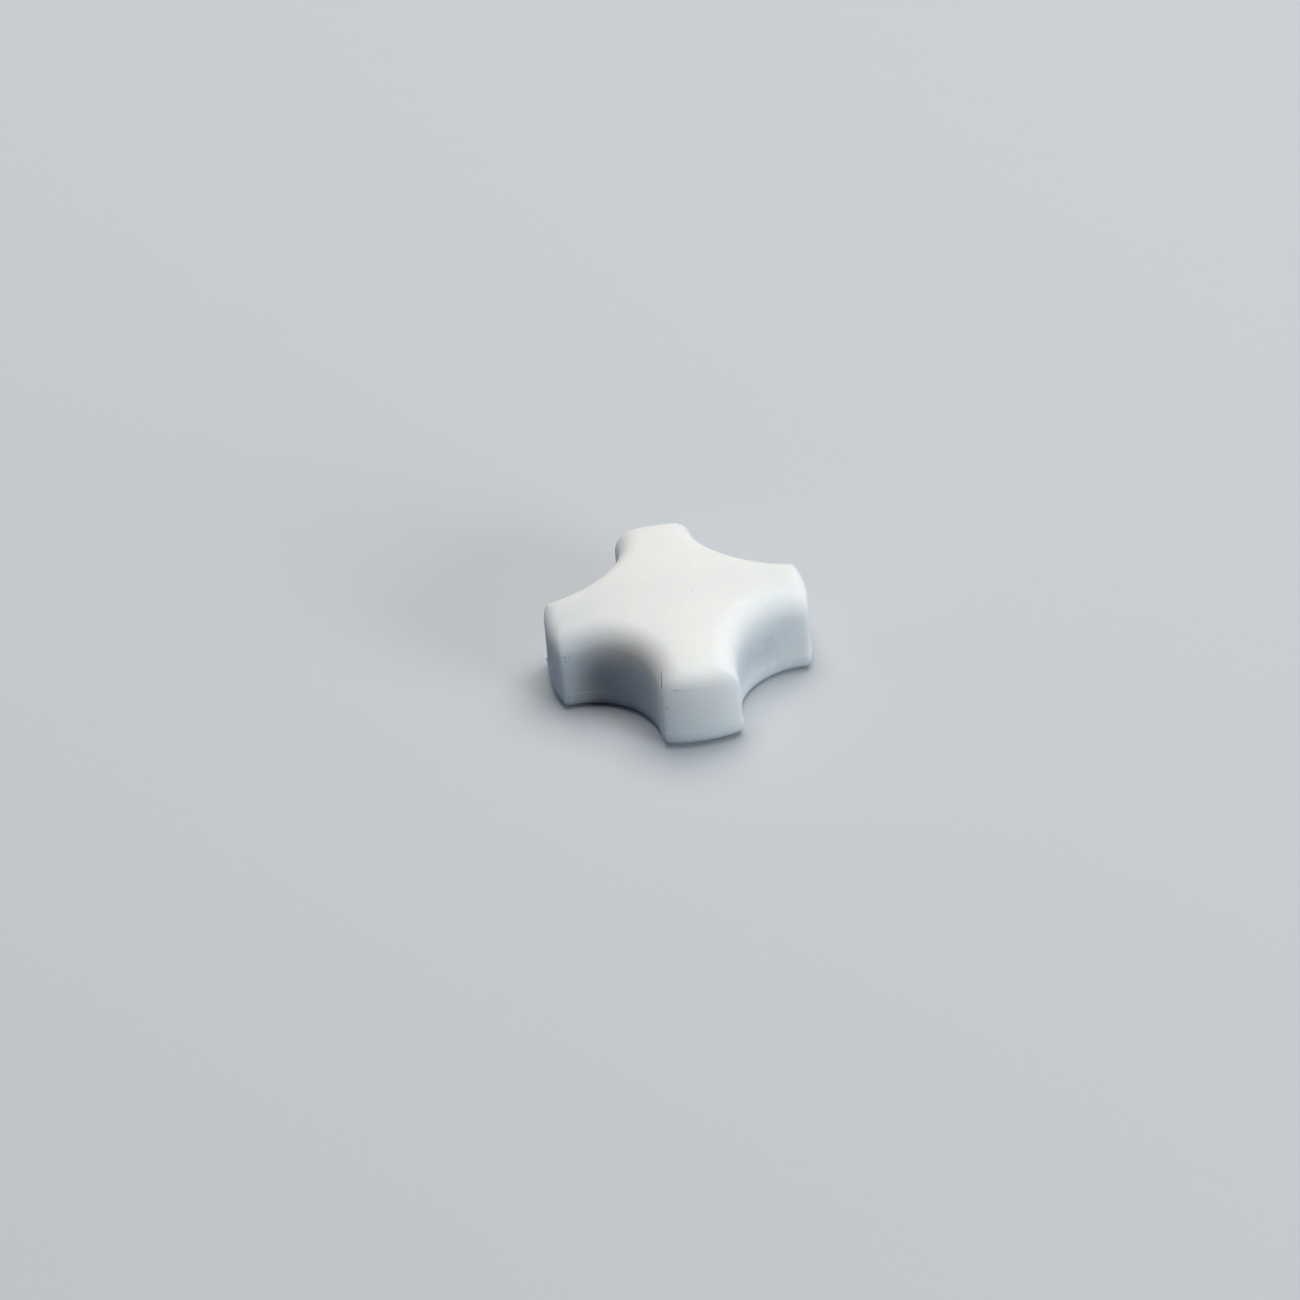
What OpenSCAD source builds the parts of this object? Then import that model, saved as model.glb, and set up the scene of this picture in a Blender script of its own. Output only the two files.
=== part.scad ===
// Crosshead magnetic stir bar: a four-armed PTFE moulding with a bar magnet sealed inside it.
// The origin is the centre of the resting face. +Z is up, and the arms lie along X and Y.

/* [Jacket] */
// Width across two opposite arm ends
cross_w = 38; // [36:0.5:46]
// Height from the resting face to the middle of the top face
height = 14.5; // [12.5:0.1:18]
// Width of an arm at its end, at half height
arm_w = 11.9; // [10.4:0.1:12.8]
// Width across the waist, between two opposite recesses, at half height
waist_w = 25; // [24:0.1:27]
// Drop of the domed top face, from its middle to the arm ends
crown = 2.5; // [1.5:0.1:3.5]
// Draft of the recess walls, in degrees, which lean inwards towards the top
recess_draft = 0.6; // [0.2:0.1:3]

/* [Edges] */
// Radius of the top edge of each arm end
end_top_r = 2.6; // [1.4:0.1:3.2]
// Radius of the bottom edge of each arm end
end_foot_r = 1.8; // [0.6:0.1:2.6]
// Radius of the top edge of each recess
recess_top_r = 3.9; // [2.4:0.1:4.4]
// Radius of the bottom edge of each recess
recess_foot_r = 1.5; // [0.4:0.1:2]

/* [Magnet] */
// Length of the bar magnet
magnet_l = 32; // [20:0.5:33]
// Diameter of the bar magnet
magnet_d = 7; // [4:0.1:7.4]
// Chamfer round each end of the bar magnet
magnet_chamfer = 0.4; // [0.2:0.1:1]
// Clearance that the jacket leaves all round the magnet
pocket_clearance = 0.05; // [0.02:0.01:0.2]

/* [Hidden] */

ARM_COUNT = 4;
OVERCUT = 1;
// Depth by which surfaces that would only graze each other are made to cross
MERGE = 0.03;
$fn = 128;

// Half of the size across: the arm ends are arcs of this one circle
end_r = cross_w / 2;
mid_z = height / 2;

// The top face is part of a large sphere, whose centre lies far below the resting face
dome_r = (pow(end_r, 2) + pow(crown, 2)) / (2 * crown);
dome_z = height - dome_r;

// Height, at distance x from the centre, of a dome that lies at that depth under the top face
function dome_height(x, depth) = dome_z + sqrt(pow(dome_r - depth, 2) - pow(x, 2));

// Distance at which an edge of radius r touches the top face, where x is that of the edge's centre
function touch_x(x, r) = x * dome_r / (dome_r - r);

// Centre of the top edge of an arm end
end_edge_x = end_r - end_top_r;
end_edge_z = dome_height(end_edge_x, end_top_r) + MERGE;

// Each recess is an arc through the corners of two neighbouring arm ends and through its waist point,
// so the distance of its axis from the centre, along the diagonal, follows from those three points.
corner_x = sqrt(pow(end_r, 2) - pow(arm_w / 2, 2));
corner_reach = (corner_x + arm_w / 2) * sqrt(2);
waist_reach = waist_w / 2;
recess_axis = (pow(end_r, 2) - pow(waist_reach, 2)) / (corner_reach - waist_w);
recess_mid_r = recess_axis - waist_reach;

// Radius of a recess wall at height z
function recess_r(z) = recess_mid_r + (z - mid_z) * tan(recess_draft);

// Centre of the recess's bottom edge, at a distance from the recess axis
foot_edge_z = recess_foot_r - MERGE;
foot_edge_x = recess_r(foot_edge_z) + recess_foot_r / cos(recess_draft);

// Centre of the recess's top edge at the waist, at a distance from the recess axis
top_edge_x = recess_r(mid_z + recess_top_r / 2) + recess_top_r / cos(recess_draft) - MERGE;
top_edge_z = dome_height(recess_axis - top_edge_x, recess_top_r) + MERGE;

// Round recess and domed top together put the centres of that edge on a ring that falls outwards
ring_tilt = atan(recess_axis / (dome_r - recess_top_r));
ring_r = top_edge_x * cos(ring_tilt);
ring_cut_z = recess_top_r * sin(ring_tilt);

// Section, from the axis outwards, of the round blank that the four arms are left from
module blank_section() {
    intersection() {
        square([touch_x(end_edge_x, end_top_r), height + OVERCUT]);
        translate([0, dome_z])
            circle(dome_r, $fn = 16 * $fn);
    }
    translate([0, end_foot_r])
        square([end_r, end_edge_z - end_foot_r]);
    square([end_r - end_foot_r, mid_z]);
    translate([end_edge_x, end_edge_z])
        circle(end_top_r);
    translate([end_r - end_foot_r, end_foot_r])
        circle(end_foot_r);
}

// Section of a recess cutter: all that the leaning wall and the bottom edge leave of a disc
module recess_section() {
    difference() {
        translate([0, -OVERCUT])
            square([foot_edge_x, height + 2 * OVERCUT]);
        translate([foot_edge_x, foot_edge_z])
            rotate(-recess_draft) {
                circle(recess_foot_r);
                translate([-recess_foot_r, 0])
                    square([end_r, 2 * height]);
            }
    }
}

// Section of the cutter for a recess's top edge: a disc whose rim is hollowed to the edge radius
module ring_section() {
    difference() {
        translate([0, ring_cut_z])
            square([touch_x(ring_r, recess_top_r), height]);
        translate([ring_r, 0])
            circle(recess_top_r);
    }
}

// One recess between two arms, with its axis on the +X axis
module recess() {
    translate([recess_axis, 0])
        rotate_extrude()
            recess_section();
    translate([recess_axis - top_edge_x, 0, top_edge_z])
        rotate([0, ring_tilt, 0])
            translate([ring_r, 0])
                rotate_extrude()
                    ring_section();
}

// A bar along X, centred in the body, with a chamfer round each end
module bar(length, diameter, chamfer) {
    half_l = length / 2;
    r = diameter / 2;
    translate([0, 0, mid_z])
        rotate([0, 90, 0])
            rotate_extrude()
                polygon([
                    [0, -half_l],
                    [r - chamfer, -half_l],
                    [r, -half_l + chamfer],
                    [r, half_l - chamfer],
                    [r - chamfer, half_l],
                    [0, half_l],
                ]);
}

// The one-piece cross moulding, closed all round the magnet's pocket
module jacket() {
    color([0.94, 0.94, 0.92])
        difference() {
            rotate_extrude()
                blank_section();
            for (i = [0 : ARM_COUNT - 1])
                rotate((i + 0.5) * 360 / ARM_COUNT)
                    recess();
            bar(magnet_l + 2 * pocket_clearance, magnet_d + 2 * pocket_clearance, magnet_chamfer);
        }
}

// The bar magnet, held in its pocket along the X arms
module magnet() {
    color([0.42, 0.42, 0.44])
        bar(magnet_l, magnet_d, magnet_chamfer);
}

jacket();
magnet();
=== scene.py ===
import math

import bmesh
import bpy
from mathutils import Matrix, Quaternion, Vector


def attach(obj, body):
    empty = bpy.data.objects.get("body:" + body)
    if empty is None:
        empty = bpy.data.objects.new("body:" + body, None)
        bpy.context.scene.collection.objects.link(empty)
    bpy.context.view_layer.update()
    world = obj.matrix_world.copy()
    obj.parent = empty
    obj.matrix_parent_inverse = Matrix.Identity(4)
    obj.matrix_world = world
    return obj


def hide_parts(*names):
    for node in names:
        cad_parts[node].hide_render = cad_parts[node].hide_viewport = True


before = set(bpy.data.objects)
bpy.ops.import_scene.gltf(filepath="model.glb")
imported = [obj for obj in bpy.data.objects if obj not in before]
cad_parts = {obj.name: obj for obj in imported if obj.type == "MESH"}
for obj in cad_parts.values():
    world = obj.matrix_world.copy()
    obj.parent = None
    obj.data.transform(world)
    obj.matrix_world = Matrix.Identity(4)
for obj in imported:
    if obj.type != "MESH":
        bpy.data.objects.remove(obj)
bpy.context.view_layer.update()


# --- Camera ---------------------------------------------------------------------------------
# A long lens from about a metre away looks down on the stir bar from the front and a little to
# its left, and leans a few degrees clockwise.
MM = 0.001  # one millimetre in metres

camera_aim = Vector((-4.37, -0.76, 4.28)) * MM
camera_away = 943 * MM
camera_azimuth = math.radians(-7.77)
camera_elevation = math.radians(37.84)
camera_lean = math.radians(-4.62)

camera_back = Vector((
    math.sin(camera_azimuth) * math.cos(camera_elevation),
    -math.cos(camera_azimuth) * math.cos(camera_elevation),
    math.sin(camera_elevation),
))
camera_facing = (-camera_back).to_track_quat("-Z", "Y")
camera = bpy.data.objects.new("camera", bpy.data.cameras.new("camera"))
bpy.context.scene.collection.objects.link(camera)
camera.data.sensor_width = 36
camera.data.lens = 182.87
camera.location = camera_aim + camera_back * camera_away
camera.rotation_mode = "QUATERNION"
camera.rotation_quaternion = camera_facing @ Quaternion((0, 0, 1), camera_lean)
bpy.context.scene.camera = camera
bpy.context.scene.view_settings.view_transform = "Standard"


# --- Jacket ---------------------------------------------------------------------------------
# One piece of PTFE, pressed and sintered round the magnet in a mould of two halves. Its edges
# are softer than a cut edge, and the upper half closed a hair narrower and out of line. It keeps
# the closed pocket that the magnet lies in.
mesh_size = 0.21 * MM
relax_passes = 6
pocket_x = 16.3 * MM
pocket_z = 7.25 * MM
pocket_r = 3.8 * MM

pressed = bpy.data.objects.new("jacket_pressed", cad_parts["jacket"].data.copy())
bpy.context.scene.collection.objects.link(pressed)
blank = bmesh.new()
blank.from_mesh(pressed.data)
bmesh.ops.remove_doubles(blank, verts=blank.verts, dist=0.001 * MM)
blank.to_mesh(pressed.data)

# Remeshing fills the closed pocket, so the pocket's own faces are set aside and go back in later
bmesh.ops.delete(blank, geom=[
    v for v in blank.verts
    if abs(v.co.x) > pocket_x or math.hypot(v.co.y, v.co.z - pocket_z) > pocket_r
], context="VERTS")
pocket = bpy.data.meshes.new("jacket_pocket")
blank.to_mesh(pocket)
blank.free()

remesh = pressed.modifiers.new("remesh", "REMESH")
remesh.mode = "VOXEL"
remesh.voxel_size = mesh_size
relax = pressed.modifiers.new("relax", "SMOOTH")
relax.factor = 0.5
relax.iterations = relax_passes
relaxed = pressed.evaluated_get(bpy.context.evaluated_depsgraph_get())
jacket = bpy.data.objects.new("jacket_moulding", bpy.data.meshes.new_from_object(relaxed))
bpy.context.scene.collection.objects.link(jacket)
bpy.data.objects.remove(pressed)

moulding = bmesh.new()
moulding.from_mesh(jacket.data)

# The upright corners at the arm tips are eased, over a narrower band each time
tip_radius = 19 * MM
tip_half_width = 5.95 * MM
ease_reaches = (2.2 * MM, 1.8 * MM, 1.4 * MM)
ease_passes = 7

tip_x = math.sqrt(tip_radius**2 - tip_half_width**2)
tip_corners = [
    Vector(corner)
    for side in (-1, 1)
    for other_side in (-1, 1)
    for corner in (
        (side * tip_x, other_side * tip_half_width),
        (side * tip_half_width, other_side * tip_x),
    )
]
for reach in ease_reaches:
    eased = [
        v for v in moulding.verts
        if any((v.co.xy - corner).length < reach for corner in tip_corners)
    ]
    for _ in range(ease_passes):
        bmesh.ops.smooth_vert(
            moulding, verts=eased, factor=0.5,
            use_axis_x=True, use_axis_y=True, use_axis_z=False,
        )

# The parting step: all above it stands in by the step's width, and the whole half a little aside
part_line_z = 2.6 * MM
part_slope = 0.12 * MM
part_step = 0.1 * MM
part_shift = Vector((-0.05, 0.03)) * MM

for level in (part_line_z, part_line_z + part_slope):
    bmesh.ops.bisect_plane(
        moulding, geom=moulding.verts[:] + moulding.edges[:] + moulding.faces[:],
        plane_co=(0, 0, level), plane_no=(0, 0, 1),
    )
moulding.normal_update()
faced = [(v, v.normal.xy.copy()) for v in moulding.verts]
for v, outward in faced:
    if v.co.z > part_line_z + part_slope / 2:
        v.co.xy += part_shift - outward * part_step

# Nibs of flash on that line, torn rather than trimmed: x, y, reach and how far each stands out
flash_nibs = (
    (-18.7, 3.2, 0.4, 0.24),
    (-5.3, -17.8, 0.5, 0.3),
    (-18.9, -0.9, 1.4, 0.08),
    (11.9, -6.75, 1.1, 0.07),
)
for x, y, reach, proud in flash_nibs:
    nib = Vector((x * MM, y * MM, part_line_z))
    for v, outward in faced:
        near = 1 - (v.co - nib).length / (reach * MM)
        if near > 0:
            eased_in = near * near * (3 - 2 * near)
            v.co.xy += outward * proud * MM * eased_in

bmesh.ops.recalc_face_normals(moulding, faces=moulding.faces)
moulding.from_mesh(pocket)
moulding.to_mesh(jacket.data)
moulding.free()
jacket.data.shade_smooth()


# Its material: a clouded, waxy white that light enters a little way. The mould leaves faint
# upright lines on the walls, and dirt has lodged in open pores and in scuffs along the edges. The
# colour also carries painted shade in the hollows of the recesses and along the near arm's upper
# left edge, and a painted highlight on the proud flash.
class Wire:
    """An output socket in a material, so that its maths reads as a Python expression."""

    def __init__(self, tree, output=None):
        self.tree = tree
        self.output = output

    def node(self, kind, settings, inputs, output=0):
        """Adds a node of that kind: its settings are made first, then its inputs set or joined."""
        made = self.tree.nodes.new("ShaderNode" + kind)
        for name, value in settings.items():
            setattr(made, name, value)
        for name, value in inputs.items():
            if isinstance(value, Wire):
                self.tree.links.new(value.output, made.inputs[name])
            else:
                made.inputs[name].default_value = value
        return Wire(self.tree, made.outputs[output])

    def maths(self, operation, *values):
        return self.node("Math", {"operation": operation}, dict(enumerate(values)))

    def __add__(self, other):
        return self.maths("ADD", self, other)

    def __radd__(self, other):
        return self.maths("ADD", other, self)

    def __sub__(self, other):
        return self.maths("SUBTRACT", self, other)

    def __rsub__(self, other):
        return self.maths("SUBTRACT", other, self)

    def __mul__(self, other):
        return self.maths("MULTIPLY", self, other)

    def __rmul__(self, other):
        return self.maths("MULTIPLY", other, self)


def noise(place, size, detail, stretch=(1, 1, 1)):
    """Soft noise from -0.5 to 0.5, in clouds of that size, which a stretch below 1 lengthens."""
    spread = place.node("VectorMath", {"operation": "MULTIPLY"}, {0: place, 1: stretch})
    cloudy = place.node("TexNoise", {}, {"Vector": spread, "Scale": 1 / size, "Detail": detail})
    return cloudy - 0.5


def fade(value, full, none):
    """1 up to the first value, easing to 0 at the second."""
    return value.node("MapRange", {"interpolation_type": "SMOOTHSTEP"}, {
        "Value": value, "From Min": full, "From Max": none, "To Min": 1.0, "To Max": 0.0,
    })


def speckle(place, spacing, full, none):
    """Round specks: 1 in their middles, and 0 past the second of two shares of the spacing."""
    cells = place.node("TexVoronoi", {}, {"Vector": place, "Scale": 1 / spacing}, "Distance")
    return fade(cells, full, none)


def stroke(place, start, end, reach):
    """1 on the line from start to end, easing to 0 at that reach from it, all in millimetres."""
    start, end = Vector(start) * MM, Vector(end) * MM
    run = end - start
    aside = place.node("VectorMath", {"operation": "SUBTRACT"}, {0: place, 1: start})
    along = run / run.length_squared
    share = place.node("VectorMath", {"operation": "DOT_PRODUCT"}, {0: aside, 1: along}, "Value")
    on_run = place.node("Clamp", {}, {"Value": share})
    foot = place.node("VectorMath", {"operation": "SCALE"}, {0: run, "Scale": on_run})
    apart = place.node("VectorMath", {"operation": "DISTANCE"}, {0: aside, 1: foot}, "Value")
    return fade(apart, 0, reach * MM)


def strongest(masks):
    """The highest of several masks at each point."""
    highest = masks[0]
    for mask in masks[1:]:
        highest = highest.maths("MAXIMUM", highest, mask)
    return highest


def toned(colour, tone):
    """A colour made lighter or darker by that tone."""
    return tone.node("VectorMath", {"operation": "SCALE"}, {0: colour, "Scale": tone})


def laid_over(under, over, share):
    """The first colour with the second laid on it by that share."""
    return share.node("Mix", {"data_type": "RGBA"}, {"Factor": share, 6: under, 7: over}, 2)


def bumped(relief):
    """The surface's normal with that relief, in metres, pressed into it."""
    return relief.node("Bump", {}, {"Strength": 1.0, "Distance": 1.0, "Height": relief})


def join(material, values):
    """Joins each value to the socket of that name on the material's shader."""
    shader = material.node_tree.nodes["Principled BSDF"]
    for name, value in values.items():
        material.node_tree.links.new(value.output, shader.inputs[name])


ptfe_white = (0.88, 0.875, 0.86)
recess_shade_grey = (0.46, 0.5, 0.54, 1)
flash_highlight_white = (0.97, 0.97, 0.96, 1)
dirt_and_edge_shade_brown = (0.1, 0.09, 0.08, 1)
cloud_size, cloud_relief = 4.5 * MM, 0.03 * MM
grain_size, grain_relief = 0.3 * MM, 0.02 * MM
drawn_size, drawn_relief = 0.45 * MM, 0.025 * MM
drawn_stretch = (1, 1, 0.05)
pore_spacing = 1.5 * MM
flash_relief = 0.06 * MM
dirt_and_edge_shade_relief = 0.05 * MM

ptfe = bpy.data.materials.new("sintered_ptfe")
ptfe.use_nodes = True
ptfe_shader = ptfe.node_tree.nodes["Principled BSDF"]
ptfe_shader.inputs["IOR"].default_value = 1.38
ptfe_shader.inputs["Specular IOR Level"].default_value = 0.1
ptfe_shader.inputs["Subsurface Weight"].default_value = 1
ptfe_shader.inputs["Subsurface Radius"].default_value = (1.0, 0.85, 0.7)
ptfe_shader.inputs["Subsurface Scale"].default_value = 6 * MM

# Drawn lines and the painted recess shade are strongest where the surface faces square to this
# slant, as it does in the front right and back left recesses, and they fade where it faces along
# it
marks_and_shade_slant = (1 / 3, 1 / 3, 1 / 3)
on_jacket = Wire(ptfe.node_tree).node("TexCoord", {}, {}, "Object")
facing = on_jacket.node("NewGeometry", {}, {}, "Normal")
lean = facing.node("VectorMath", {"operation": "DOT_PRODUCT"}, {0: facing, 1: marks_and_shade_slant}, "Value")
square_on = fade(lean.maths("ABSOLUTE", lean), 0.2, 0.6)

clouds = noise(on_jacket, cloud_size, 2)
grain = noise(on_jacket, grain_size, 3)
drawn = noise(on_jacket, drawn_size, 2, drawn_stretch) * square_on
pores = speckle(on_jacket, pore_spacing, 0.03, 0.075)

# Dirt in scuffs: start, end, reach and depth of tone, and fainter dirt in the open pores. The
# first two strokes are painted shade, a dark line along the near arm's upper left edge and down
# its tip
dirt_and_edge_shade_strokes = (
    ((-4.95, -15.2, 11.3), (-5.3, -17.2, 10.3), 0.24, 1.0),
    ((-5.3, -17.2, 10.3), (-5.35, -17.8, 9.0), 0.38, 1.0),
    ((-3.9, -18.5, 10.3), (-3.5, -18.6, 10.3), 0.16, 0.75),
    ((-3.3, -18.6, 10.25), (-2.9, -18.7, 10.25), 0.12, 0.65),
    ((-2.5, -18.75, 10.15), (-0.8, -18.9, 10.3), 0.1, 0.35),
    ((-5.0, -18.1, 7.2), (-4.95, -18.1, 7.1), 0.28, 0.6),
    ((11.4, -6.9, 7.3), (11.5, -6.9, 7.25), 0.2, 0.5),
    ((12.3, -6.5, 7.2), (12.4, -6.5, 7.1), 0.22, 0.55),
    ((12.7, -6.4, 6.6), (12.8, -6.4, 6.5), 0.2, 0.5),
    ((-17.3, -5.7, 9.4), (-17.25, -5.7, 9.2), 0.22, 0.6),
    ((-17.2, -5.7, 8.7), (-17.2, -5.7, 8.6), 0.2, 0.5),
    ((-16.7, -5.7, 9.2), (-16.6, -5.7, 9.1), 0.16, 0.45),
    ((-17.3, -5.8, 2.3), (-17.25, -5.8, 2.2), 0.25, 0.5),
    ((-17.4, -5.8, 1.5), (-17.35, -5.8, 1.5), 0.22, 0.4),
    ((-6.2, 9.0, 13.3), (-6.4, 9.3, 13.0), 0.26, 0.45),
    ((2.1, -1.8, 14.45), (2.15, -1.8, 14.45), 0.2, 0.3),
)
dirt_and_edge_shade = strongest([pores * 0.35] + [
    stroke(on_jacket, start, end, reach) * depth for start, end, reach, depth in dirt_and_edge_shade_strokes
])

# Scratches and specks of flash that stand proud; the lighter colour laid on them is a painted
# highlight where they catch the light
flash_and_highlight_marks = (
    ((11.9, -6.75, 4.2), (13.9, -6.1, 3.9), 0.12, 0.8),
    ((13.9, -6.1, 3.9), (14.8, -5.9, 3.2), 0.12, 0.8),
    ((14.8, -5.9, 3.2), (16.0, -5.8, 3.15), 0.12, 0.7),
    ((11.4, -7.0, 3.4), (12.8, -6.4, 3.2), 0.1, 0.4),
    ((-8.4, -9.4, 4.15), (-8.3, -9.5, 4.1), 0.24, 1.0),
    ((-7.8, -10.1, 4.5), (-7.7, -10.3, 4.5), 0.22, 0.8),
    ((-18.9, -0.5, 2.7), (-18.8, -2.0, 2.7), 0.2, 0.7),
)
flash_and_highlight = strongest([
    stroke(on_jacket, start, end, reach) * depth for start, end, reach, depth in flash_and_highlight_marks
])

# Painted shade: the hollow of each recess is darkened to grey in the colour itself, where the
# recesses lie in shade
recess_shade_near, recess_shade_far = 12.2 * MM, 17 * MM
recess_shade_z, recess_shade_half_height = 6 * MM, 5.5 * MM
recess_shade_depth = 0.58
plan = on_jacket.node("VectorMath", {"operation": "MULTIPLY"}, {0: on_jacket, 1: (1, 1, 0)})
from_axis = plan.node("VectorMath", {"operation": "LENGTH"}, {0: plan}, "Value")
from_belt = on_jacket.node("SeparateXYZ", {}, {"Vector": on_jacket}, "Z") - recess_shade_z
belt = fade(from_belt.maths("ABSOLUTE", from_belt), 0, recess_shade_half_height)
recess_shade = fade(from_axis, recess_shade_near, recess_shade_far) * square_on * belt * (1 + clouds)

ptfe_colour = toned(ptfe_white, 1 + clouds * 0.05 + grain * 0.05 + drawn * 0.04)
# Painted shade: the recess hollows laid darker grey
ptfe_colour = laid_over(ptfe_colour, recess_shade_grey, recess_shade * recess_shade_depth)
# Painted highlight: the proud flash laid lighter
ptfe_colour = laid_over(ptfe_colour, flash_highlight_white, flash_and_highlight)
# Dirt, and the painted shade line on the near arm's upper left edge, laid dark
ptfe_colour = laid_over(ptfe_colour, dirt_and_edge_shade_brown, dirt_and_edge_shade)
ptfe_relief = (
    clouds * cloud_relief + grain * grain_relief + drawn * drawn_relief
    + flash_and_highlight * flash_relief - dirt_and_edge_shade * dirt_and_edge_shade_relief
)
join(ptfe, {
    "Base Color": ptfe_colour,
    "Roughness": 0.74 + clouds * 0.12 + grain * 0.2 + dirt_and_edge_shade * 0.3,
    "Normal": bumped(ptfe_relief),
})

jacket.data.materials.clear()
jacket.data.materials.append(ptfe)
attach(jacket, "root")
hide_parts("jacket")


# --- Magnet ---------------------------------------------------------------------------------
# A cast AlNiCo rod, ground round its barrel to a dull steel grey, with the fine pits and darker
# skin of the casting left at its ends. It lies sealed in the jacket's pocket.
magnet_half = 16 * MM
skin_reach = 0.45 * MM
grinding_size, grinding_relief = 0.12 * MM, 0.006 * MM
grinding_stretch = (1, 0.02, 0.02)
casting_size, casting_relief = 1.2 * MM, 0.05 * MM
pit_spacing, pit_relief = 0.8 * MM, 0.04 * MM
ground_grey = (0.46, 0.45, 0.44)
skin_grey = (0.2, 0.19, 0.18)
pit_black = (0.06, 0.055, 0.05, 1)

alloy = bpy.data.materials.new("cast_alnico")
alloy.use_nodes = True
alloy.node_tree.nodes["Principled BSDF"].inputs["Metallic"].default_value = 1

on_magnet = Wire(alloy.node_tree).node("TexCoord", {}, {}, "Object")
along = on_magnet.node("SeparateXYZ", {}, {"Vector": on_magnet}, "X")
ground = 1 - fade(magnet_half - along.maths("ABSOLUTE", along), 0, skin_reach)
grinding = noise(on_magnet, grinding_size, 3, grinding_stretch) * ground
casting = noise(on_magnet, casting_size, 4)
pits = speckle(on_magnet, pit_spacing, 0.06, 0.16)

alloy_tone = 1 + casting * 0.14 + grinding * 0.2
alloy_colour = laid_over(toned(skin_grey, alloy_tone), toned(ground_grey, alloy_tone), ground)
alloy_colour = laid_over(alloy_colour, pit_black, pits * 0.7)
alloy_relief = (
    grinding * grinding_relief + casting * (1 - ground) * casting_relief - pits * pit_relief
)
join(alloy, {
    "Base Color": alloy_colour,
    "Roughness": 0.62 - ground * 0.24 + grinding * 0.25 + pits * 0.2,
    "Normal": bumped(alloy_relief),
})
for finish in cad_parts["magnet"].material_slots:
    finish.material = alloy


# --- Floor and light ------------------------------------------------------------------------
# A plain pale sheet, whose light off it on to the stir bar is held down so that the walls keep
# their shading. A large soft lamp stands high behind on the right, with weaker ones low on the
# right and on the left.
sheet_half = 3  # metres
sheet_shown = (0.62, 0.65, 0.69, 1)
sheet_bounce = (0.1, 0.125, 0.18, 1)
backdrop = (0.6, 0.625, 0.655, 1)
backdrop_from, backdrop_full = 90 * MM, 450 * MM
room_light = 0.03

floor = bpy.data.objects.new("floor", bpy.data.meshes.new("floor"))
bpy.context.scene.collection.objects.link(floor)
sheet = bmesh.new()
bmesh.ops.create_grid(sheet, x_segments=1, y_segments=1, size=sheet_half)
sheet.to_mesh(floor.data)
sheet.free()


def seen(tree):
    """1 for the rays that show a surface or the room itself, and 0 for those that light others."""
    return strongest([
        Wire(tree).node("LightPath", {}, {}, kind)
        for kind in ("Is Camera Ray", "Is Glossy Ray", "Is Transmission Ray")
    ])


paper = bpy.data.materials.new("pale_paper")
paper.use_nodes = True
paper_shader = paper.node_tree.nodes["Principled BSDF"]
paper_shader.inputs["Roughness"].default_value = 0.9
paper_shader.inputs["Specular IOR Level"].default_value = 0.1
showing = seen(paper.node_tree)
join(paper, {"Base Color": laid_over(sheet_bounce, sheet_shown, showing)})

# Far from the stir bar, where the lamps don't reach, the sheet runs into the backdrop
on_sheet = showing.node("TexCoord", {}, {}, "Object")
from_middle = on_sheet.node("VectorMath", {"operation": "LENGTH"}, {0: on_sheet}, "Value")
far = 1 - fade(from_middle, backdrop_from, backdrop_full)
lit_sheet = Wire(paper.node_tree, paper_shader.outputs["BSDF"])
glow = far.node("Emission", {}, {"Color": backdrop, "Strength": 1.0})
sheet_finish = far.node("MixShader", {}, {"Fac": far * showing, 1: lit_sheet, 2: glow})
paper_output = paper.node_tree.nodes["Material Output"]
paper.node_tree.links.new(sheet_finish.output, paper_output.inputs["Surface"])
floor.data.materials.append(paper)


def soft_lamp(name, azimuth, elevation, width, power, colour):
    """A square lamp 1 m from the stir bar, which it faces; azimuth is counted from +X."""
    turn, climb = math.radians(azimuth), math.radians(elevation)
    stand = Vector((
        math.cos(turn) * math.cos(climb), math.sin(turn) * math.cos(climb), math.sin(climb),
    ))
    lamp = bpy.data.objects.new(name, bpy.data.lights.new(name, "AREA"))
    bpy.context.scene.collection.objects.link(lamp)
    lamp.data.size = width
    lamp.data.energy = power
    lamp.data.color = colour
    lamp.location = stand
    lamp.rotation_mode = "QUATERNION"
    lamp.rotation_quaternion = (-stand).to_track_quat("-Z", "Y")


soft_lamp("overhead", 60, 71, 1.0, 10.6, (1, 0.97, 0.92))
soft_lamp("right_fill", -46, 12, 0.45, 6.2, (0.82, 0.93, 1))
soft_lamp("left_fill", 165, 35, 0.6, 1.1, (0.6, 0.8, 1))

room = bpy.data.worlds.new("room")
room.use_nodes = True
walls = room.node_tree.nodes["Background"]
walls.inputs["Color"].default_value = backdrop
wall_strength = seen(room.node_tree) * (1 - room_light) + room_light
room.node_tree.links.new(wall_strength.output, walls.inputs["Strength"])
bpy.context.scene.world = room
